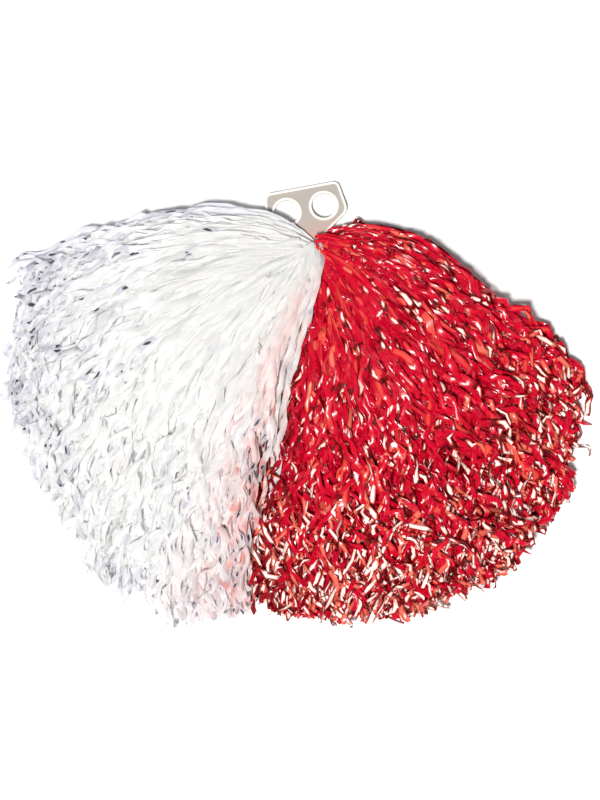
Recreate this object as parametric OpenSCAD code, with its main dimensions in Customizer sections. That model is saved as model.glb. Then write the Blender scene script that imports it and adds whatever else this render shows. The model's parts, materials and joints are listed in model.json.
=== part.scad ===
// Cheer pom pom, lying on its back on a table: a moulded two-hole finger plate whose crossbar
// carries a white hank and a red hank. Each hank is made of slit film sheets, and each sheet is
// folded over the crossbar, so that it has a header, a lower half and an upper half.
// Millimetres, +Z up, +Y towards the finger plate, origin on the table under the box's centre.

/* [Finger plate] */
// Radius of each finger hole
hole_r = 12.5; // [10:0.5:13]
// Distance between the two hole centres
hole_spacing = 38; // [36:1:42]
// Thickness of the flat web
web_t = 3; // [2:0.5:4]
// Thickness of the plate at its raised rim and hole collars
rim_t = 5; // [4.5:0.5:6]
// Width of the raised rim
rim_w = 2.3; // [1.5:0.1:3]
// Width of the collar round each hole
collar_w = 2.6; // [2:0.1:3]
// Radius of the crossbar that the hanks hang on
bar_r = 3; // [2.5:0.1:3.2]
// How far the plate is turned in the plane of the table, in degrees
plate_turn = 10.5; // [0:0.5:12]

/* [Hanks] */
// Sheets of slit film in each hank
sheets = 5; // [5:1:5]
// Radius of the film wound round the crossbar
header_r = 9; // [7.5:0.5:9]
// Half the thickness of a hank where its tie holds it
waist_z = 5.5; // [4:0.5:5.5]
// Height of the loose streamers at their highest, above the table
loft = 58; // [40:1:70]
// Space between the upper and lower streamers
layer_gap = 0.6; // [0.4:0.1:1]
// Space between neighbouring lower streamers
side_gap = 0.8; // [0.6:0.1:1.5]
// Share of its width that each upper streamer block leaves free, so that it can lift
lift_room = 0.2; // [0.14:0.01:0.22]

/* [Ties] */
// Width of the nylon tie's strap
tie_w = 4.2; // [3.6:0.2:4.6]
// Thickness of the strap
tie_t = 1.3; // [1:0.1:1.5]

/* [Hidden] */
$fn = 64;
COLOURS = ["white", "red"];

// Finger plate outline, right half, from the crossbar up: point and corner radius
neck_half = 4.5;
plate_corners = [
    [[neck_half, 0], 0], [[neck_half, 10.4], 5], [[42.3, 36.6], 11], [[37.2, 68.4], 6],
];
hole_y = 46;                          // holes' centre line above the crossbar
plate_reach = plate_corners[3][0][1]; // top edge above the crossbar
corner_steps = 6;

// Crossbar and headers
bar_fit = 0.08;                       // radial clearance of a header on the crossbar
bar_z = header_r + 0.5;               // crossbar's height above the table
arm_start = neck_half + 0.3;
header_w = 3.9;
header_pitch = 4;
arm_end = arm_start + sheets * header_pitch;
arm_mid = (arm_start + arm_end) / 2 - (header_pitch - header_w) / 2;
knob_r = 4.4;
knob_t = 2;
nose_y = -22;                         // centre of a hank's rounded end, where it swings
nose_r = 10;
root_r = nose_r + 3.2;                // streamers start this far from that centre
tie_y = -11.6;
tie_fit = 0.12;

// The plate leans on its top edge, so its tilt follows from the crossbar's height
plate_tilt = asin(bar_z / norm([plate_reach, rim_t / 2])) - atan(rim_t / 2 / plate_reach);
bar_at = [16.2, 148.6, bar_z];        // crossbar's centre

// Edges between the blocks of streamers, from the outer edge to where the colours meet:
// angle at the root, then the point that the edge bends towards, then the tip
WHITE_EDGES = [
    [167, [-150.5, 222], [-289.15, 135]],
    [184, [-143.5, 111], [-286.5, 41]],
    [203, [-138.5, 43], [-264.5, -62]],
    [222, [-105.5, -13], [-206.5, -159]],
    [241, [-62.5, -45], [-126.5, -217]],
    [259, [-6.5, -41], [-50, -207]],
];
RED_EDGES = [
    [18, [156.5, 236], [289.2, -7]],
    [-7, [176.5, 71], [278.5, -79]],
    [-31, [153.5, 16], [244.5, -139]],
    [-55, [111.5, -27], [171.5, -197]],
    [-79, [56.5, -45], [71.5, -221.7]],
    [-102, [-11.5, -40], [-38, -213]],
];
// How high each block of streamers stands, as a share of the loft
BLOCK_HEIGHT = [0.78, 0.95, 1, 1, 0.9];
// Heights along a streamer, as shares of the loft, from its root to its tip
UNDERSIDE = [[0, 0.078], [0.1, 0], [1, 0]];
MIDDLE = [[0, 0.164], [0.2, 0.32], [0.45, 0.46], [0.75, 0.38], [1, 0.16]];
TOP = [[0, 0.25], [0.1, 0.45], [0.22, 0.74], [0.45, 1], [0.75, 0.84], [1, 0.36]];
STATIONS = [0, 0.05, 0.1, 0.16, 0.24, 0.34, 0.45, 0.58, 0.72, 0.86, 1];
// Cross-section of a block: share of the width, share of the height
SECTION = [[0, 0], [1, 0], [1, 0.62], [0.86, 0.9], [0.5, 1], [0.14, 0.9], [0, 0.62]];

function unit(v) = v / norm(v);
function side(v) = [v[1], -v[0]];
function mirrored(corners) =
    [for (i = [len(corners) - 1:-1:0]) [[-corners[i][0][0], corners[i][0][1]], corners[i][1]]];

// Points of a closed outline whose corners are rounded by arcs
function round_corner(before, at, after, r) =
    let (u = unit(before - at), v = unit(after - at), half = acos(u * v) / 2,
         back = r / tan(half), centre = at + unit(u + v) * r / sin(half),
         p = at + u * back - centre, q = at + v * back - centre)
    [for (i = [0:corner_steps]) let (t = i / corner_steps)
        centre + r * unit(p * sin((1 - t) * (180 - 2 * half)) + q * sin(t * (180 - 2 * half)))];
function rounded(corners) =
    let (n = len(corners))
    [for (i = [0:n - 1]) each corners[i][1] == 0 ? [corners[i][0]] :
        round_corner(corners[(i + n - 1) % n][0], corners[i][0], corners[(i + 1) % n][0],
                     corners[i][1])];

// An outline that runs anticlockwise, moved inward by a distance
function inset(points, by) =
    let (n = len(points))
    [for (i = [0:n - 1])
        let (a = unit(points[i] - points[(i + n - 1) % n]),
             b = unit(points[(i + 1) % n] - points[i]),
             m = unit(-side(a) - side(b)))
        points[i] + m * by / (m * -side(a))];

module handle_place() {
    translate(bar_at) rotate(plate_turn) rotate([-plate_tilt, 0, 0]) children();
}

module hank_place() {
    translate(bar_at) rotate(plate_turn) children();
}

module along_bar(h) {
    rotate([0, 90, 0]) linear_extrude(h, center = true) children();
}

module crossbar() {
    end = arm_end + 0.4;
    rotate([0, 90, 0]) cylinder(r = bar_r, h = 2 * end + 1, center = true);
    for (s = [-1, 1]) translate([s * (end + knob_t / 2), 0, 0]) rotate([0, 90, 0])
        rotate_extrude() polygon([
            [0, -knob_t / 2], [knob_r - 0.5, -knob_t / 2], [knob_r, -knob_t / 2 + 0.5],
            [knob_r, knob_t / 2 - 0.5], [knob_r - 0.5, knob_t / 2], [0, knob_t / 2]]);
}

module finger_plate() {
    outline = rounded(concat(plate_corners, mirrored(plate_corners)));
    color("antiquewhite") handle_place() difference() {
        union() {
            linear_extrude(web_t, center = true) polygon(outline);
            linear_extrude(rim_t, center = true) difference() {
                polygon(outline);
                polygon(inset(outline, rim_w));
            }
            for (s = [-1, 1]) translate([s * hole_spacing / 2, hole_y, 0])
                cylinder(r = hole_r + collar_w, h = rim_t, center = true);
            crossbar();
        }
        for (s = [-1, 1]) translate([s * hole_spacing / 2, hole_y, 0])
            cylinder(r = hole_r, h = 2 * rim_t, center = true);
    }
}

// The unslit middle of sheet i, pleated narrow and looped over its arm of the crossbar
module header(hand, i) {
    x = hand * (arm_start + header_w / 2 + (i - 1) * header_pitch);
    hank_place() difference() {
        union() {
            translate([x, 0, 0]) along_bar(header_w) circle(header_r);
            translate([x, nose_y / 2, 0]) cube([header_w, -nose_y, 2 * waist_z], center = true);
            intersection() {
                translate([x, nose_y - nose_r, 0])
                    cube([header_w, 2 * nose_r, 2 * waist_z], center = true);
                translate([hand * arm_mid, nose_y, 0])
                    cylinder(r = nose_r, h = 2 * waist_z, center = true);
            }
        }
        translate([x, 0, 0]) along_bar(2 * header_w) circle(bar_r + bar_fit);
    }
}

module rounded_rectangle(w, h, r) {
    square([w, h - 2 * r], center = true);
    square([w - 2 * r, h], center = true);
    for (x = [-1, 1], y = [-1, 1]) translate([x * (w / 2 - r), y * (h / 2 - r)]) circle(r);
}

// Nylon cable tie round the five headers of a hank, with its head on top and a trimmed tail
module tie(hand) {
    w = sheets * header_pitch + 2 * tie_fit;
    h = 2 * (waist_z + tie_fit);
    head_w = 7.4;
    head_h = 5;
    color("ivory") hank_place() translate([hand * arm_mid, tie_y, 0]) {
        difference() {
            union() {
                rotate([90, 0, 0]) linear_extrude(tie_w, center = true)
                    rounded_rectangle(w + 2 * tie_t, h + 2 * tie_t, 2);
                translate([0, 0, h / 2 + head_h / 2])
                    cube([head_w, tie_w + 1, head_h], center = true);
            }
            cube([w, 3 * tie_w, h], center = true);
        }
        translate([hand * (head_w / 2 + 2.4), 0, h / 2 + head_h * 0.62])
            cube([5, tie_w, tie_t], center = true);
    }
}

function bend(a, b, c, t) = (1 - t) * (1 - t) * a + 2 * t * (1 - t) * b + t * t * c;
function turned(p, a) = [p[0] * cos(a) - p[1] * sin(a), p[0] * sin(a) + p[1] * cos(a)];
function root_of(hand) =
    [bar_at[0], bar_at[1]] + turned([hand * arm_mid, nose_y], plate_turn);
function edge_at(hand, e, t) =
    bend(root_of(hand) + root_r * [cos(e[0]), sin(e[0])], e[1], e[2], t);

// One block of streamers between two edges; each station is a cross-section of it
module streamers(hand, i, floor_line, top_line, lift, room, height) {
    edges = hand < 0 ? WHITE_EDGES : RED_EDGES;
    m = len(SECTION);
    n = len(STATIONS);
    points = [for (t = STATIONS)
        let (a = edge_at(hand, edges[i - 1], t), b = edge_at(hand, edges[i], t),
             w = norm(b - a), inset = side_gap / 2 / w + room / 2,
             low = loft * lookup(t, floor_line) * (lift > 0 ? height : 1) + lift,
             high = loft * lookup(t, top_line) * height - (lift > 0 ? 0 : layer_gap / 2))
        for (s = SECTION)
            let (p = a + (b - a) * (inset + (1 - 2 * inset) * s[0]))
            [p[0], p[1], low + (high - low) * s[1]]];
    walls = [for (j = [0:n - 2], k = [0:m - 1])
        let (a = j * m + k, b = j * m + (k + 1) % m)
        each [[a, b, b + m], [a, b + m, a + m]]];
    caps = [[for (k = [m - 1:-1:0]) k], [for (k = [0:m - 1]) (n - 1) * m + k]];
    faces = concat(walls, caps);
    polyhedron(points, hand < 0 ? [for (f = faces) [for (k = [len(f) - 1:-1:0]) f[k]]] : faces);
}

module lower_streamers(hand, i) {
    streamers(hand, i, UNDERSIDE, MIDDLE, 0, 0, BLOCK_HEIGHT[i - 1]);
}

module upper_streamers(hand, i) {
    streamers(hand, i, MIDDLE, TOP, layer_gap / 2, lift_room, BLOCK_HEIGHT[i - 1]);
}

module hank_part(hand, kind, i) {
    if (kind == "header") header(hand, i);
    if (kind == "lower_streamers") lower_streamers(hand, i);
    if (kind == "upper_streamers") upper_streamers(hand, i);
}

finger_plate();
tie(-1);  // white_tie
tie(1);  // red_tie
for (c = COLOURS, kind = ["header", "lower_streamers", "upper_streamers"], i = [1:sheets])
    color(c == "white" ? "white" : "crimson") hank_part(c == "white" ? -1 : 1, kind, i);
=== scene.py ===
import json
import math
import bpy
import numpy as np
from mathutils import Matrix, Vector


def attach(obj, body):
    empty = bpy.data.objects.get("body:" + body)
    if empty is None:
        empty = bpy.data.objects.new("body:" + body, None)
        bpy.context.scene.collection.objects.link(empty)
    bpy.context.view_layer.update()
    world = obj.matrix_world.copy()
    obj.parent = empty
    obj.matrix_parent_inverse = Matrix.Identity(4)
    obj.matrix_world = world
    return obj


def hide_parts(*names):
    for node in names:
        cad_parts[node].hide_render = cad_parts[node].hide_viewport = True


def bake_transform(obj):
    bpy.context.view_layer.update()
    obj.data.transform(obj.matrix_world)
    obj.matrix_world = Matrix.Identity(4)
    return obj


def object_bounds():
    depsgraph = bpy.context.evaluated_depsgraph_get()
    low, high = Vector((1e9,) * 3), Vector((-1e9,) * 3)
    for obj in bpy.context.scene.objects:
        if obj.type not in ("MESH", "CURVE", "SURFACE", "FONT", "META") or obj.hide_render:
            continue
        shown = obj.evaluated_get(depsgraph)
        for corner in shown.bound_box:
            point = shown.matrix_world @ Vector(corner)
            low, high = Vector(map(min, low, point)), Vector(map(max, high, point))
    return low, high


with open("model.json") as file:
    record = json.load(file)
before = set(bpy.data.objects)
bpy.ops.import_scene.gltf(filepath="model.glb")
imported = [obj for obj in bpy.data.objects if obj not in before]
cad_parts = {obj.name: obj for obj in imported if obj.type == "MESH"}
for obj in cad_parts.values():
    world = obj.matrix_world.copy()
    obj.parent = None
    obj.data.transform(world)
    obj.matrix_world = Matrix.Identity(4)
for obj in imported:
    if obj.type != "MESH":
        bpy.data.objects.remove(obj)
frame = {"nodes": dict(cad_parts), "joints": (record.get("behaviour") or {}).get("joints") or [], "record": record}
cad_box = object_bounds()

MM = 0.001
SHEETS = 5  # sheets of film in each fan
RIBBON = 380  # length of a full ribbon, in millimetres
LOFT = cad_box[1][2] * 1000  # height of the pom as it lies, in millimetres
HANDS = ("white", "red")
JOINTS = {j["name"]: j for j in frame["joints"]}
rng = np.random.default_rng(4107)


# ---------------------------------------------------------------- camera, floor and lights

def add_camera():
    """A long lens that looks straight down on the pom."""
    data = bpy.data.cameras.new("camera")
    data.lens = 85
    data.sensor_width = 36
    data.clip_end = 100
    cam = bpy.data.objects.new("camera", data)
    bpy.context.collection.objects.link(cam)
    frame_height = 0.8
    middle = (0.0025, 0.0015, 0.02)
    cam.location = (middle[0], middle[1], middle[2] + frame_height * data.lens / data.sensor_width)
    cam.rotation_euler = (0, 0, 0)
    bpy.context.scene.camera = cam


def add_sun(name, source, power, degrees, colour):
    """A soft lamp far away in the direction of source, and degrees wide as the pom sees it."""
    data = bpy.data.lights.new(name, "SUN")
    data.energy = power
    data.angle = math.radians(degrees)
    data.color = colour
    light = bpy.data.objects.new(name, data)
    bpy.context.collection.objects.link(light)
    light.location = source
    light.rotation_euler = (-light.location).to_track_quat("-Z", "Y").to_euler()


def add_world():
    """A dim room for the shading, with a pale backdrop where the camera sees past the floor."""
    room, backdrop = 0.13, 1.1
    world = bpy.data.worlds.new("studio")
    world.use_nodes = True
    tree = world.node_tree
    shade = tree.nodes["Background"]
    shade.inputs["Color"].default_value = (0.95, 0.97, 1, 1)
    ray = tree.nodes.new("ShaderNodeLightPath")
    strength = tree.nodes.new("ShaderNodeMapRange")
    strength.inputs["To Min"].default_value = room
    strength.inputs["To Max"].default_value = backdrop
    tree.links.new(ray.outputs["Is Camera Ray"], strength.inputs["Value"])
    tree.links.new(strength.outputs[0], shade.inputs["Strength"])
    bpy.context.scene.world = world


def add_floor():
    far = 40
    mesh = bpy.data.meshes.new("floor")
    corners = [(-far, -far, 0), (far, -far, 0), (far, far, 0), (-far, far, 0)]
    mesh.from_pydata(corners, [], [(0, 1, 2, 3)])
    floor = bpy.data.objects.new("floor", mesh)
    bpy.context.collection.objects.link(floor)
    mat = bpy.data.materials.new("paper_floor")
    mat.use_nodes = True
    shader = mat.node_tree.nodes["Principled BSDF"]
    shader.inputs["Base Color"].default_value = (0.9, 0.9, 0.9, 1)
    shader.inputs["Roughness"].default_value = 0.9
    shader.inputs["Specular IOR Level"].default_value = 0.1
    mesh.materials.append(mat)


# ---------------------------------------------------------------- materials

class Graph:
    """A material and the nodes that feed its shader."""

    def __init__(self, name):
        self.material = bpy.data.materials.new(name)
        self.material.use_nodes = True
        self.tree = self.material.node_tree
        self.shader = self.tree.nodes["Principled BSDF"]

    def node(self, kind, **values):
        """A node of this kind, with values for its sockets by name or else for its settings."""
        n = self.tree.nodes.new(kind)
        for key, value in values.items():
            if key in n.inputs:
                n.inputs[key].default_value = value
            else:
                setattr(n, key, value)
        return n

    def link(self, a, b):
        self.tree.links.new(a, b)

    def ramp(self, source, stops):
        n = self.tree.nodes.new("ShaderNodeValToRGB")
        while len(n.color_ramp.elements) < len(stops):
            n.color_ramp.elements.new(0.5)
        for element, (place, colour) in zip(n.color_ramp.elements, stops):
            element.position = place
            element.color = (*colour, 1)
        self.link(source, n.inputs[0])
        return n.outputs[0]

    def noise(self, scale, detail):
        place = self.node("ShaderNodeTexCoord")
        n = self.node("ShaderNodeTexNoise", Scale=scale, Detail=detail, Roughness=0.55)
        self.link(place.outputs["Object"], n.inputs["Vector"])
        return n.outputs["Fac"]

    def mix(self, fac, a, b):
        """From colour a to colour b as fac goes from 0 to 1."""
        colour_a, colour_b, result = 6, 7, 2
        n = self.node("ShaderNodeMix", data_type="RGBA")
        self.link(fac, n.inputs[0])
        for socket, value in ((n.inputs[colour_a], a), (n.inputs[colour_b], b)):
            if isinstance(value, tuple):
                socket.default_value = (*value, 1)
            else:
                self.link(value, socket)
        return n.outputs[result]

    def bump(self, height, strength, distance):
        n = self.node("ShaderNodeBump", Strength=strength, Distance=distance)
        self.link(height, n.inputs["Height"])
        self.link(n.outputs["Normal"], self.shader.inputs["Normal"])


def film_material(name, stops, creased, soft_patch, spot_colour, seam_colour, see_through, roughness, coat, crumple):
    """Slit plastic film. Each ribbon has its own tone, which differs at random, and its lowest tones
    are painted shade. Where the marks are middling it takes a soft patch, where they are high a
    spot, and near where the two fans meet a seam tint. The four colours after stops are those of
    fine creases, of soft patches (on the white a painted lavender shade, on the red faded film with
    a painted orange sheen), of spots (on the white a painted dark shade, on the red a painted
    highlight) and of the seam tint (on the white a painted pink reflection of the red film, on the
    red a darker red). The meshes carry tone, the marks and the seam tint as attributes."""
    g = Graph(name)
    tone = g.node("ShaderNodeAttribute", attribute_name="tone")
    fading_and_painted_light = g.node("ShaderNodeAttribute", attribute_name="fading_and_painted_light")
    seam_tint = g.node("ShaderNodeAttribute", attribute_name="seam_tint")
    crease = g.ramp(g.noise(420, 2), [(0.47, (0, 0, 0)), (0.66, (0.25, 0.25, 0.25))])
    colour = g.mix(crease, g.ramp(tone.outputs["Fac"], stops), creased)
    # marks from 0.3 to 0.4 bring in the soft patch colour and from 0.5 to 0.58 the spot colour: painted shade on
    # the white, faded film with painted sheen and painted highlights on the red
    patching = g.ramp(fading_and_painted_light.outputs["Fac"], [(0.3, (0, 0, 0)), (0.4, (1, 1, 1))])
    spotting = g.ramp(fading_and_painted_light.outputs["Fac"], [(0.5, (0, 0, 0)), (0.58, (1, 1, 1))])
    # the seam tint: on the white a painted pink reflection of the red film, on the red a darker red
    colour = g.mix(seam_tint.outputs["Fac"], colour, seam_colour)
    colour = g.mix(patching, colour, soft_patch)
    colour = g.mix(spotting, colour, spot_colour)
    g.link(colour, g.shader.inputs["Base Color"])
    g.shader.inputs["Roughness"].default_value = roughness
    g.shader.inputs["Specular IOR Level"].default_value = 0.2
    g.shader.inputs["Coat Weight"].default_value = coat
    g.shader.inputs["Coat Roughness"].default_value = 0.17
    g.bump(g.noise(210, 3), crumple, 0.0006)
    through = g.node("ShaderNodeBsdfTranslucent")
    g.link(colour, through.inputs["Color"])
    both = g.node("ShaderNodeMixShader")
    both.inputs[0].default_value = see_through
    out = g.tree.nodes["Material Output"]
    g.link(g.shader.outputs[0], both.inputs[1])
    g.link(through.outputs[0], both.inputs[2])
    g.link(both.outputs[0], out.inputs["Surface"])
    return g.material


def plate_material(up, middle, towards_bar):
    """Moulded plastic: a warm grey-beige web with flow marks and fine grain, a painted highlight on
    its raised rim, which is coloured paler, and a painted reflection of the red film towards the
    crossbar. up is the plate's normal and middle a point on its centre plane."""
    g = Graph("moulded_plate")
    flow = g.ramp(g.noise(22, 4), [(0.3, (0.39, 0.352, 0.315)), (0.7, (0.42, 0.377, 0.337))])
    place = g.node("ShaderNodeTexCoord")
    off = g.node("ShaderNodeVectorMath", operation="SUBTRACT")
    g.link(place.outputs["Object"], off.inputs[0])
    off.inputs[1].default_value = middle
    height = g.node("ShaderNodeVectorMath", operation="DOT_PRODUCT")
    g.link(off.outputs[0], height.inputs[0])
    height.inputs[1].default_value = up
    proud = g.node("ShaderNodeMath", operation="ABSOLUTE")
    g.link(height.outputs["Value"], proud.inputs[0])
    # in metres: the web's face is 1.5 mm from the centre plane, and the rim's is 2.5 mm from it
    rim = g.node("ShaderNodeMapRange", **{"From Min": 0.0017, "From Max": 0.0023})
    g.link(proud.outputs[0], rim.inputs["Value"])
    # painted highlight: the raised rim is coloured paler than the web
    colour = g.mix(rim.outputs[0], flow, (0.84, 0.8, 0.75))
    down = g.node("ShaderNodeVectorMath", operation="DOT_PRODUCT")
    g.link(off.outputs[0], down.inputs[0])
    down.inputs[1].default_value = towards_bar
    # the painted reflection of the red film comes in from 8 to 36 mm below the holes
    red_bounce = g.node("ShaderNodeMapRange", **{"From Min": 0.008, "From Max": 0.036, "To Max": 0.42})
    g.link(down.outputs["Value"], red_bounce.inputs["Value"])
    colour = g.mix(red_bounce.outputs[0], colour, (0.72, 0.26, 0.22))
    g.link(colour, g.shader.inputs["Base Color"])
    g.shader.inputs["Roughness"].default_value = 0.38
    g.shader.inputs["Specular IOR Level"].default_value = 0.5
    g.bump(g.noise(900, 2), 0.12, 0.0003)
    return g.material


def nylon_material():
    g = Graph("tie_nylon_milky")
    g.link(g.ramp(g.noise(60, 3), [(0.3, (0.72, 0.71, 0.66)), (0.7, (0.84, 0.83, 0.79))]),
           g.shader.inputs["Base Color"])
    g.shader.inputs["Roughness"].default_value = 0.45
    g.shader.inputs["Subsurface Weight"].default_value = 0.15
    g.shader.inputs["Subsurface Radius"].default_value = (0.002, 0.002, 0.002)
    g.bump(g.noise(700, 2), 0.15, 0.0003)
    return g.material


# ---------------------------------------------------------------- how the ribbons run

# Guide lines of each fan, from its outer edge to where the colours meet, in millimetres:
# where the ribbons leave the crossbar, two points they bend towards, and where they end.
GUIDES = {
    "white": [
        [(13, 153), (-38, 224), (-190, 175), (-277, 122)],
        [(9, 152), (-92, 200), (-262, 130), (-288, 14)],
        [(3, 149), (-105, 140), (-234, 62), (-265, -67)],
        [(3, 146), (-78, 86), (-186, -12), (-212, -165)],
        [(10, 145), (-36, 58), (-112, -70), (-128, -220)],
        [(17, 153), (16, 98), (-58, -5), (-46, -208)],
    ],
    "red": [
        [(26, 152), (66, 228), (252, 91), (287, -6)],
        [(24, 154), (92, 176), (211, 62), (271, -77)],
        [(28, 150), (84, 114), (182, -8), (246, -137)],
        [(28, 146), (64, 74), (127, -58), (174, -196)],
        [(23, 145), (38, 54), (61, -78), (73, -219)],
        [(16, 153), (14, 96), (-70, -10), (-54, -207)],
    ],
}
# Height of each fan at its guide lines, as a share of its greatest height.
BLOCK_HEIGHT = {"white": [0.42, 0.82, 1, 1, 0.98, 0.95], "red": [0.42, 0.82, 1, 1, 0.93, 0.5]}
# Heights along a fan: shares of the length, and shares of LOFT there. The lower half of a sheet
# lies between FLOOR and MIDDLE, and the upper half between MIDDLE and TOP.
FLOOR = ([0, 0.1, 1], [0.03, 0.012, 0.012])
MIDDLE = ([0, 0.2, 0.45, 0.75, 1], [0.3, 0.36, 0.46, 0.36, 0.13])
TOP = ([0, 0.08, 0.22, 0.45, 0.75, 0.9, 1], [0.42, 0.55, 0.76, 0.98, 0.8, 0.55, 0.33])

# Ribbons in a half sheet, and steps along each of them.
COUNT = {"lower": 130, "upper": 330}
STEPS = {"lower": 32, "upper": 46}

# How each film behaves.
#   width       least and greatest width of a ribbon, in mm
#   chaos       how wild the loose part of a ribbon is
#   loose_from  shares of the length between which it comes loose
#   curls       wavelengths of its curls, in mm
#   crinkle     size of its creases, in mm
#   twist       how far it turns about its own length
#   short       share of the upper ribbons that end near the crossbar
#   overlap     how far the fan reaches past its last guide line; less than 0 stops short of it
#   mingle      how far the ends there stray past that
#    marks_from  shares of the length between which the marks of the ends come in
#    soft_patch  share of soft patches all along, and how many more there are at the ends; on the
#                white they are painted lavender shade, on the red faded film with painted sheen
#    spots       the same for spots, in each half of a sheet; on the white they are painted dark
#                shade, on the red painted highlights
#    spot_run    steps that a spot at the ends takes
#    rim         how much darker a ribbon's edges are than its middle, as painted shade
STYLE = {
    "white": {
        "width": (4.1, 8.4), "chaos": 0.8, "loose_from": (0.12, 0.95), "curls": (62, 38),
        "crinkle": 0.7, "twist": 0.9, "short": 0.02, "overlap": -0.15, "mingle": 0.1,
        "marks_from": (0.12, 0.95), "soft_patch": (0.012, 0.15),
        "spots": {"upper": (0, 0.075), "lower": (0, 0.12)}, "spot_run": 1, "rim": 0.16,
    },
    "red": {
        "width": (3.7, 7.4), "chaos": 1.2, "loose_from": (0.1, 0.92), "curls": (50, 31),
        "crinkle": 0.55, "twist": 0.9, "short": 0.05, "overlap": 0.0, "mingle": 0.09,
        "marks_from": (0.6, 0.96), "soft_patch": (0.06, 0.5),
        "spots": {"upper": (0.05, 0.4), "lower": (0.02, 0.2)}, "spot_run": 2, "rim": 0.1,
    },
}

# Where the ends of a fan stand out or fall back: place across it, and change of reach there.
OUTLINE = {
    "white": [(0, -0.02), (0.3, -0.02), (0.6, -0.035), (1.1, 0.02), (3.35, 0.02), (3.7, -0.02),
              (4, 0.055)],
    "red": [(0.02, 0.01), (0.3, -0.13), (0.95, 0.015), (1.6, 0.01), (2.3, -0.015),
            (4.72, -0.005), (4.98, -0.065)],
}
# Where the outer side of a fan is drawn in or bulges: share of the length, and change of place.
SIDE = {"white": [(0.3, 0.3)], "red": [(0.6, 0.24), (0.86, -0.13)]}
# How far each of those changes is felt on either side, across the fan or along it.
DENT = 0.13

# Strands that lie apart from their sheet: how much paler or darker they are than its ribbons,
# and the place across the fan and the reach of each.
STRANDS = {
    "white_upper_streamers_1": (-0.4, [(-0.16, 1.06), (-0.1, 1.075), (-0.22, 1.05), (-0.14, 1.03)]),
    "white_upper_streamers_5": (0.35, [(5.1 + 0.13 * (k % 2), 0.7 + 0.035 * k) for k in range(8)]),
}
STRAND_WIDTH = 0.8  # as a share of the ribbons' width
STRAND_CHAOS = 0.3  # as a share of the ribbons' chaos

# Marks of a ribbon's middle and edges at a soft patch and at a spot. The film materials bring in
# the soft patch colour from 0.3 to 0.4 and the spot colour from 0.5 to 0.58: painted shade on the
# white, and on the red faded film with painted sheen for a soft patch and a painted highlight for
# a spot.
PATCH_MARK, PATCH_MARK_EDGE = 0.46, 0.3
SPOT_MARK, SPOT_MARK_EDGE = 1, 0.1

HIGHEST = LOFT + 2  # millimetres, for the middle line of a ribbon


def bezier(points, t):
    """Points of a cubic curve at the shares t of its length."""
    p = np.array(points, float)
    b = np.stack([(1 - t) ** 3, 3 * t * (1 - t) ** 2, 3 * t * t * (1 - t), t ** 3], -1)
    return b @ p


def guide(hand, u, t):
    """Point on the fan: u runs 0 to 5 across it, t from the crossbar (0) to the ends (1)."""
    curves = np.stack([bezier(g, t) for g in GUIDES[hand]])
    low = np.clip(np.floor(u).astype(int), 0, SHEETS - 1)
    part = (u - low)[..., None]
    rows = np.arange(t.shape[0])[:, None]
    cols = np.arange(t.shape[1])[None, :]
    return curves[low, rows, cols] * (1 - part) + curves[low + 1, rows, cols] * part


def waves(count, s, wavelengths):
    """Smooth random wandering along each of count ribbons, about 1 in size; wavelengths in mm."""
    out = np.zeros((count, s.shape[1]))
    for wave in wavelengths:
        f = RIBBON / wave * rng.uniform(0.75, 1.3, (count, 1))
        out += np.sin(2 * np.pi * (f * s + rng.random((count, 1))))
    return out / math.sqrt(len(wavelengths))


def smooth(x, a, b):
    """0 up to a, 1 from b on, and an even rise between them."""
    x = np.clip((x - a) / (b - a), 0, 1)
    return x * x * (3 - 2 * x)


def sheet_tufts(sheet):
    """Where across the fan a sheet's ribbons gather, and how far each tuft reaches."""
    tufts = 6
    middle = sheet - 1 + (np.arange(tufts) + rng.uniform(0.2, 0.8, tufts)) / tufts
    return middle, 1.012 - 0.1 * rng.random(tufts) ** 1.4


def dent(x, place):
    """1 at this place and less on either side of it."""
    return np.exp(-((x - place) / DENT) ** 2)


def ribbon_ends(hand, sheet, layer, tufts, apart):
    """Where each ribbon starts across the fan, the middle of its tuft, how much it gathers to
    that, how far it reaches, and whether it is a short one."""
    shape = (COUNT[layer], 1)
    full_share, stray_share, stray_until = 0.86, 0.006, 4.4
    # the tuft that each ribbon belongs to, and its place at the bar and at its end
    tuft = rng.integers(0, len(tufts[0]), COUNT[layer])[:, None]
    middle = tufts[0][tuft]
    start = rng.uniform(sheet - 1.04, sheet + 0.04, shape)
    gather = rng.uniform(0.2, 0.85, shape)
    end = start + (middle - start) * gather
    # most ribbons reach their tuft's end, some stop before it, and a few stick out
    full = rng.random(shape) < full_share
    reach = tufts[1][tuft] * np.where(full, rng.uniform(0.975, 1.005, shape),
                                      rng.uniform(0.68, 0.97, shape))
    for place, change in OUTLINE[hand]:
        reach = reach + change * dent(end, place)
    short = (rng.random(shape) < STYLE[hand]["short"]) & (layer == "upper")
    reach = np.where(short, rng.uniform(0.1, 0.45, shape), reach)
    stray = (rng.random(shape) < stray_share) & (end < stray_until)
    reach = np.where(stray, reach + rng.uniform(0.01, 0.035, shape), reach)
    for k, (_, far) in enumerate(apart):
        reach[k] = far
    return start, middle, gather, reach, short


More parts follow.
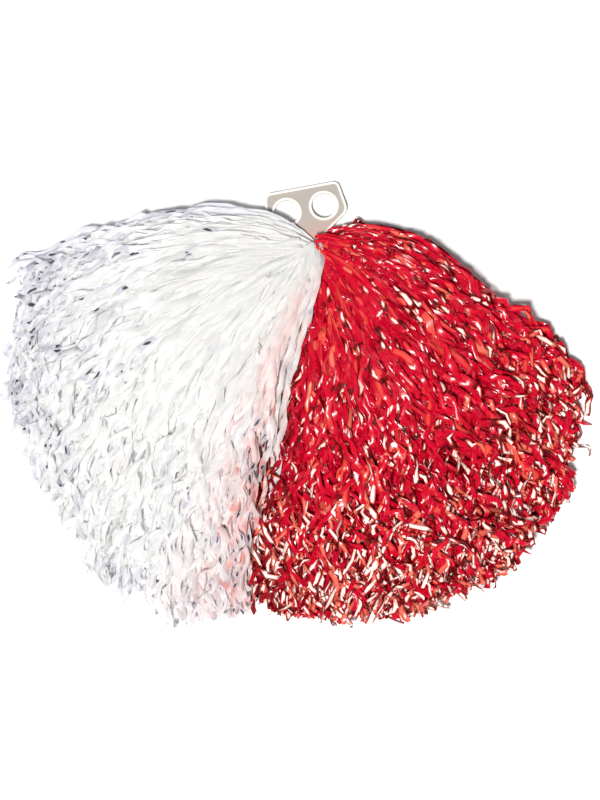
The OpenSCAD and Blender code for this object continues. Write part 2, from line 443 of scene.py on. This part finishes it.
def ribbon_paths(hand, sheet, layer, tufts, apart):
    """Centre lines, in millimetres, of the ribbons of one sheet's upper or lower half, with the
    share s of the ribbon and t of the fan's length at each point, its place u across the fan,
    how high it lies in its half and how loose it is."""
    style = STYLE[hand]
    count = COUNT[layer]
    u, middle, gather, reach, short = ribbon_ends(hand, sheet, layer, tufts, apart)
    s = np.tile(1 - (1 - np.linspace(0, 1, STEPS[layer] + 1)) ** 1.35, (count, 1))
    t = s * reach
    # across the fan: gather into tufts, wander a little, and keep to the fan's sides
    spread = (u - middle) * len(tufts[0])
    u = u + (middle - u) * gather * smooth(t, 0.25, 1)
    u = u + 0.07 * waves(count, s, [260]) * smooth(t, 0.1, 0.6)
    for where, change in SIDE[hand]:
        u = u + change * dent(t, where) * (1 - smooth(u, 0, 1))
    over = style["overlap"] + 0.05 * rng.random((count, 1)) ** 2
    u = np.clip(u, -0.14, SHEETS + over)
    if sheet == SHEETS:
        u = u + style["mingle"] * rng.random((count, 1)) ** 2 * smooth(t, 0.55, 1) * smooth(u, 4.5, 5)
    for k, (place, _) in enumerate(apart):
        u[k] = SHEETS + (place - SHEETS) * (1.9 - 0.9 * t[k]) if place > SHEETS else place
        u[k] += rng.normal(0, 0.01)
    flat = guide(hand, u, t)
    # up and down: between the surfaces of this half, and lower at the sides of a tuft
    height = np.interp(np.clip(u, 0, SHEETS), range(SHEETS + 1), BLOCK_HEIGHT[hand])
    ridge = 1 - 0.5 * np.clip(np.abs(spread) / 2.2, 0, 1) ** 1.5 * smooth(t, 0.15, 0.5)
    depth = rng.random((count, 1)) ** (0.5 if layer == "upper" else 0.8)
    low, high = (MIDDLE, TOP) if layer == "upper" else (FLOOR, MIDDLE)
    z_low = np.interp(t, *low) * LOFT * height
    z_high = np.interp(t, *high) * LOFT * height
    z = z_low + (z_high - z_low) * depth * ridge
    # crowded at the root, and looser to the end: it strays sideways, along itself and upwards
    loose = np.maximum(smooth(t, *style["loose_from"]), 0.7 * short * smooth(s, 0.3, 0.9))
    chaos = np.full((count, 1), style["chaos"])
    chaos[:len(apart)] *= STRAND_CHAOS
    along = np.gradient(flat, axis=1)
    along /= np.linalg.norm(along, axis=2, keepdims=True) + 1e-9
    side = np.stack([along[..., 1], -along[..., 0]], -1)
    root = 1 - smooth(t, 0, 0.2)
    flat = flat + rng.normal(0, 3.4, (count, 1, 2)) * root[..., None]
    drift = (1.4 + 5 * loose * chaos) * waves(count, t, [130, 80])
    curl = (0.5 + 5.2 * chaos * loose ** 1.3) * waves(count, t, style["curls"])
    flat = flat + side * (drift + curl)[..., None] * smooth(t, 0, 0.12)[..., None]
    flat = flat + along * (2.6 * chaos * loose * waves(count, t, [34, 24]))[..., None]
    z = z + (0.7 + 3.8 * chaos * loose) * waves(count, t, [60, 30]) * smooth(t, 0, 0.1)
    # clear of the table and under the top of the pom
    z = np.maximum(z, 1.2 + 0.8 * rng.random(z.shape))
    z = np.minimum(z, HIGHEST)
    return np.concatenate([flat, z[..., None]], -1), s, t, u, depth * ridge, loose


def patches(t, rate, run):
    """True along runs of up to this many steps that begin at random. They cover about the share
    of the ribbon that rate says."""
    on = rng.random(t.shape) < rate / run
    for _ in range(run - 1):
        on[:, 1:] |= on[:, :-1] & (rng.random(on[:, 1:].shape) < 0.85)
    return on


def ribbon_points(paths, s, loose, width, crinkle, twist):
    """A folded strip along each centre line: three points across, and a crease at every step."""
    count, stations = paths.shape[0], paths.shape[1]
    tangent = np.gradient(paths, axis=1)
    tangent /= np.linalg.norm(tangent, axis=2, keepdims=True) + 1e-9
    up = np.array([0, 0, 1.0])
    side = np.cross(tangent, up)
    side /= np.linalg.norm(side, axis=2, keepdims=True) + 1e-6
    lift = np.cross(side, tangent)
    # how far the strip is turned about its length, and so which way it faces
    turn = twist * (rng.normal(0, 0.4, (count, 1)) + 0.5 * waves(count, s, [150, 80])
                    + 0.9 * loose * waves(count, s, [60])
                    + rng.normal(0, 0.28, (count, stations)) * (0.2 + 0.8 * loose))
    across = side * np.cos(turn)[..., None] + lift * np.sin(turn)[..., None]
    normal = np.cross(across, tangent)
    # narrower at the root, folded along its middle, and creased more where it is loose
    w = width * (0.55 + 0.45 * smooth(s, 0, 0.15)) * rng.uniform(0.9, 1.1, (count, stations))
    rough = 0.3 + 0.7 * loose
    kink = crinkle * rng.normal(0, 1, (count, stations)) * rough * smooth(s, 0, 0.06)
    fold = w * (rng.normal(0, 0.18, (count, 1)) + rng.normal(0, 0.09, (count, stations)) * rough)
    centre = paths + normal * (kink + fold)[..., None]
    shift = rng.normal(0, 0.35, (count, stations, 2)) * crinkle
    left = paths - across * (w / 2)[..., None] + normal * (kink + shift[..., 0])[..., None]
    right = paths + across * (w / 2)[..., None] + normal * (kink + shift[..., 1])[..., None]
    points = np.stack([left, centre, right], 2)
    lowest = 0.4
    points[..., 2] = np.maximum(points[..., 2], lowest)
    return points


def add_strips(name, points, s, tones, material):
    """One mesh of the strips through these points; s is the share of the ribbon at each step."""
    count, stations = points.shape[0], points.shape[1]
    verts = (points.reshape(-1, 3) * MM).astype(np.float32)
    grid = np.arange(count * stations * 3).reshape(count, stations, 3)
    a, b = grid[:, :-1, :-1], grid[:, :-1, 1:]
    c, d = grid[:, 1:, 1:], grid[:, 1:, :-1]
    quads = np.stack([a, b, c, d], -1).reshape(-1, 4)
    mesh = bpy.data.meshes.new(name)
    mesh.vertices.add(len(verts))
    mesh.vertices.foreach_set("co", verts.ravel())
    mesh.loops.add(quads.size)
    mesh.loops.foreach_set("vertex_index", quads.ravel().astype(np.int32))
    mesh.polygons.add(len(quads))
    mesh.polygons.foreach_set("loop_start", np.arange(0, quads.size, 4, dtype=np.int32))
    mesh.polygons.foreach_set("use_smooth", np.ones(len(quads), dtype=bool))
    mesh.update(calc_edges=True)
    for key, values in tones.items():
        shade = mesh.attributes.new(key, "FLOAT", "POINT")
        shade.data.foreach_set("value", np.clip(values, 0, 1).astype(np.float32).ravel())
    mesh.uv_layers.new(name="OFBake").data.foreach_set("uv", strip_uvs(s)[quads.ravel()].ravel())
    mesh.materials.append(material)
    obj = bpy.data.objects.new(name, mesh)
    bpy.context.collection.objects.link(obj)
    return obj


def strip_uvs(s):
    """A place in the texture for every point: the strips stand side by side in four rows."""
    count, stations = s.shape
    rows = 4
    per_row = math.ceil(count / rows)
    k = np.arange(count)
    u0 = (k % per_row) / per_row
    v0 = (k // per_row) / rows
    uv = np.empty((count, stations, 3, 2))
    uv[..., 0] = u0[:, None, None] + (np.arange(3) * 0.4 + 0.1)[None, None, :] / per_row
    uv[..., 1] = v0[:, None, None] + (0.02 + 0.96 * s[:, :, None]) / rows
    return uv.reshape(-1, 2).astype(np.float32)


def three_across(middle, edges):
    """A value for each of the three points across a ribbon."""
    return np.stack([edges, middle, edges], -1)


def film_tones(hand, layer, t, u, depth, loose):
    """How each point of each ribbon is coloured, from 0 to 1: its tone, its marks and its seam tint.
    Ribbons deeper inside the fan get painted shade, so those on its top and underside are paler, and
    a ribbon's edges and the places beside a spot get painted shade too."""
    style = STYLE[hand]
    count = t.shape[0]
    rooted = t > 0.06
    depth = np.clip(depth, 0, 1)
    # painted shade: ribbons deeper inside the fan get a lower tone
    depth_shade = 0.52 * depth if layer == "upper" else 0.44 * (1 - depth)
    tone = 0.36 * rng.random((count, 1)) + depth_shade + 0.1 * waves(count, t, [170])
    # the ends of the white take the most marks at its outer side, and those of the red the fewest there
    edge = 0.65 + 0.35 * smooth(u, 1.2, 3) if hand == "red" else 1 - smooth(u, 0.6, 3.2)
    late = smooth(t, *style["marks_from"]) * edge
    seam = smooth(u, 4.4, 4.9) * smooth(t, 0.45, 0.8)
    # all along, the outer side of the red has more soft patches, faded film with painted sheen, than the rest
    early = style["soft_patch"][0] * (1 + (hand == "red") * 1.2 * (1 - smooth(u, 0.5, 2)))
    patched = patches(t, early + style["soft_patch"][1] * late, 4)
    # spots: painted highlights on the red, painted dark shade on the white
    along, ends = style["spots"][layer]
    spots = patches(t, along * smooth(t, 0.05, 0.2), 1)
    spots = spots | patches(t, ends * late, style["spot_run"])
    if hand == "white":  # more spots of painted dark shade where the colours meet
        spots = spots | patches(t, 0.1 * seam, 1)
    fading_and_painted_light = np.where(spots, SPOT_MARK, np.where(patched, PATCH_MARK, 0)) * rooted
    fading_and_painted_light_edge = np.where(spots, SPOT_MARK_EDGE, np.where(patched, PATCH_MARK_EDGE, 0)) * rooted
    shaded_beside = np.zeros_like(spots)
    shaded_beside[:, 1:] |= spots[:, :-1]
    shaded_beside[:, :-1] |= spots[:, 1:]
    # painted shade: the places beside a spot are dark
    tone = np.where(shaded_beside & ~spots, 0.0, tone + 0.06)
    # the seam tint: on the white a painted pink reflection of the red film, on the red a darker red
    near = smooth(u, 3.6, 5) * smooth(t, 0.03, 0.3)
    seam_tint = near * rng.random((count, 1)) ** 1.5 * np.clip(0.65 + 0.3 * waves(count, t, [90]), 0, 1)
    if hand == "red":  # in the white's shadow
        tone = tone - 0.9 * smooth(u, 4.52, 4.82)
    else:  # greyer at its loose ends, with spots of painted pink reflection of the red where the colours meet
        # painted shade: the white is greyer at its loose ends, most at its outer side
        tone = tone - 0.16 * edge * loose - 0.08 * loose
        seam_tint = np.where(patches(t, 0.12 * seam, 2), 1, 0.75 * seam_tint)
    # painted shade: a ribbon's edges are darker than its middle, and darkest around a spot
    rim = np.where(spots, 0, np.where(patched, 0.5 * tone, tone - style["rim"]))
    return {"tone": three_across(tone, rim), "fading_and_painted_light": three_across(fading_and_painted_light, fading_and_painted_light_edge),
            "seam_tint": three_across(seam_tint, seam_tint)}


def add_streamers(hand, material):
    """The two halves of each sheet. The lower one rides on the fan, and the upper one lifts."""
    style = STYLE[hand]
    for sheet in range(1, SHEETS + 1):
        tufts = sheet_tufts(sheet)
        for layer in ("lower", "upper"):
            name = f"{hand}_{layer}_streamers_{sheet}"
            paler, apart = STRANDS.get(name, (0, []))
            paths, s, t, u, depth, loose = ribbon_paths(hand, sheet, layer, tufts, apart)
            width = rng.uniform(*style["width"], (COUNT[layer], 1))
            width[:len(apart)] *= STRAND_WIDTH
            tones = film_tones(hand, layer, t, u, depth, loose)
            tones["tone"][:len(apart)] += paler
            points = ribbon_points(paths, s, loose, width, style["crinkle"], style["twist"])
            piece = add_strips(name + "_ribbons", points, s, tones, material)
            if layer == "lower":
                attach(piece, f"{hand}_fan")
            else:
                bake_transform(piece)
            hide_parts(name)


# ---------------------------------------------------------------- plate, headers and ties

def bevel(obj, width):
    mod = obj.modifiers.new("soft_edges", "BEVEL")
    mod.width = width
    mod.segments = 3
    mod.limit_method = "ANGLE"
    mod.angle_limit = math.radians(50)
    mod.harden_normals = False


def add_header(hand, sheet, material):
    """The sheet's folded middle: ribbons that loop over the crossbar and run to the tie. They
    fill the CAD header's space. In millimetres, x is along the bar, y towards the tie and z up."""
    node = f"{hand}_header_{sheet}"
    flip = JOINTS[f"{hand}_hank_flip"]
    bar = np.array(flip["pos_m"]) / MM
    bar_way = -np.array(flip["axis"])
    back = np.array([-bar_way[1], bar_way[0], 0])
    solid = np.array([v.co for v in frame["nodes"][node].data.vertices]) / MM - bar
    left, right = (solid @ bar_way).min(), (solid @ bar_way).max()
    outer = solid[:, 2].max() - 0.5
    inner, waist_z, ribbon_width = 3.6, 4.6, 2.8
    waist = (solid @ back).min() + 4
    count, steps = 30, 26
    s = np.tile(np.linspace(0, 1, steps + 1), (count, 1))
    r = inner + (outer - inner) * ((np.arange(count) + 0.5) / count)[:, None] ** 0.8
    # the middle 0.3 of a ribbon loops over the bar, and the 0.35 on either side runs to the tie
    angle = np.pi * (np.clip((s - 0.35) / 0.3, 0, 1) - 0.5)
    run = np.clip(np.abs(s - 0.5) - 0.15, 0, None) / 0.35
    y = r * np.cos(angle) + waist * run
    z = r * np.sin(angle)
    z = z + (np.sign(s - 0.5) * waist_z * (r / outer) - z) * smooth(run, 0.1, 0.8)
    x = rng.uniform(left + 0.9, right - 0.9, (count, 1)) + 0.3 * waves(count, s, [60])
    paths = bar + x[..., None] * bar_way + y[..., None] * back + z[..., None] * np.array([0, 0, 1])
    tones = film_tones(hand, "upper", s * 0.05, np.full_like(s, 2.5), np.full_like(s, 0.6), s * 0)
    width = np.full((count, 1), ribbon_width)
    points = ribbon_points(paths, s * 0 + 0.5, s * 0 + 0.1, width, 0.25, 0.35)
    piece = add_strips(node + "_loops", points, s, tones, material)
    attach(piece, f"{hand}_hank")
    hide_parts(node)


def dress(node, material):
    """A CAD piece that keeps its shape and gets this material."""
    obj = frame["nodes"][node]
    for slot in obj.material_slots:
        slot.material = material
    return obj


add_camera()
add_world()
add_floor()
add_sun("key", (-0.5, -0.72, 2.25), 4.25, 14, (1, 0.99, 0.97))
add_sun("fill", (1.1, 0.9, 1.7), 0.28, 30, (0.94, 0.97, 1))

white_film = film_material(
    "white_film_ribbons",
    # tone stops from painted shade, lavender, to the film's own white
    [(0.0, (0.75, 0.755, 0.83)), (0.3, (0.93, 0.93, 0.95)), (0.55, (0.965, 0.96, 0.95)),
     (1.0, (0.98, 0.975, 0.965))],
    # the white's soft patches and spots are painted shade, and its seam tint a painted pink reflection of the red
    creased=(1, 1, 1), soft_patch=(0.75, 0.75, 0.825), spot_colour=(0.09, 0.09, 0.11), seam_colour=(0.95, 0.5, 0.47),
    see_through=0.52, roughness=0.4, coat=0.15, crumple=0.4)
red_film = film_material(
    "red_film_ribbons",
    # tone stops from painted shade, near black, through the film's crimson to an orange that is random tone and
    # painted sheen
    [(0.1, (0.1, 0.0, 0.003)), (0.28, (0.48, 0.0, 0.018)), (0.8, (0.62, 0.0, 0.025)),
     (0.9, (0.74, 0.085, 0.055))],
    # the red's soft patches are faded film with painted sheen, its spots painted highlights, and its seam tint a
    # darker red
    creased=(0.72, 0.05, 0.04), soft_patch=(0.78, 0.16, 0.1), spot_colour=(1, 0.86, 0.8), seam_colour=(0.5, 0, 0.02),
    see_through=0.08, roughness=0.26, coat=0.34, crumple=0.2)
add_streamers("white", white_film)
add_streamers("red", red_film)
holes = frame["record"]["mounts"]
between = (Vector(holes[0]["pos_m"]) + Vector(holes[1]["pos_m"])) / 2
neck = (Vector(JOINTS["red_hank_flip"]["pos_m"]) - between).normalized()
bevel(dress("finger_plate", plate_material(holes[0]["axis"], between, neck)), 0.0006)
nylon = nylon_material()
for hand in HANDS:
    bevel(dress(f"{hand}_tie", nylon), 0.0004)
    for sheet in range(1, SHEETS + 1):
        add_header(hand, sheet, white_film if hand == "white" else red_film)

view = bpy.context.scene.view_settings
view.view_transform = "Standard"
view.look = "None"
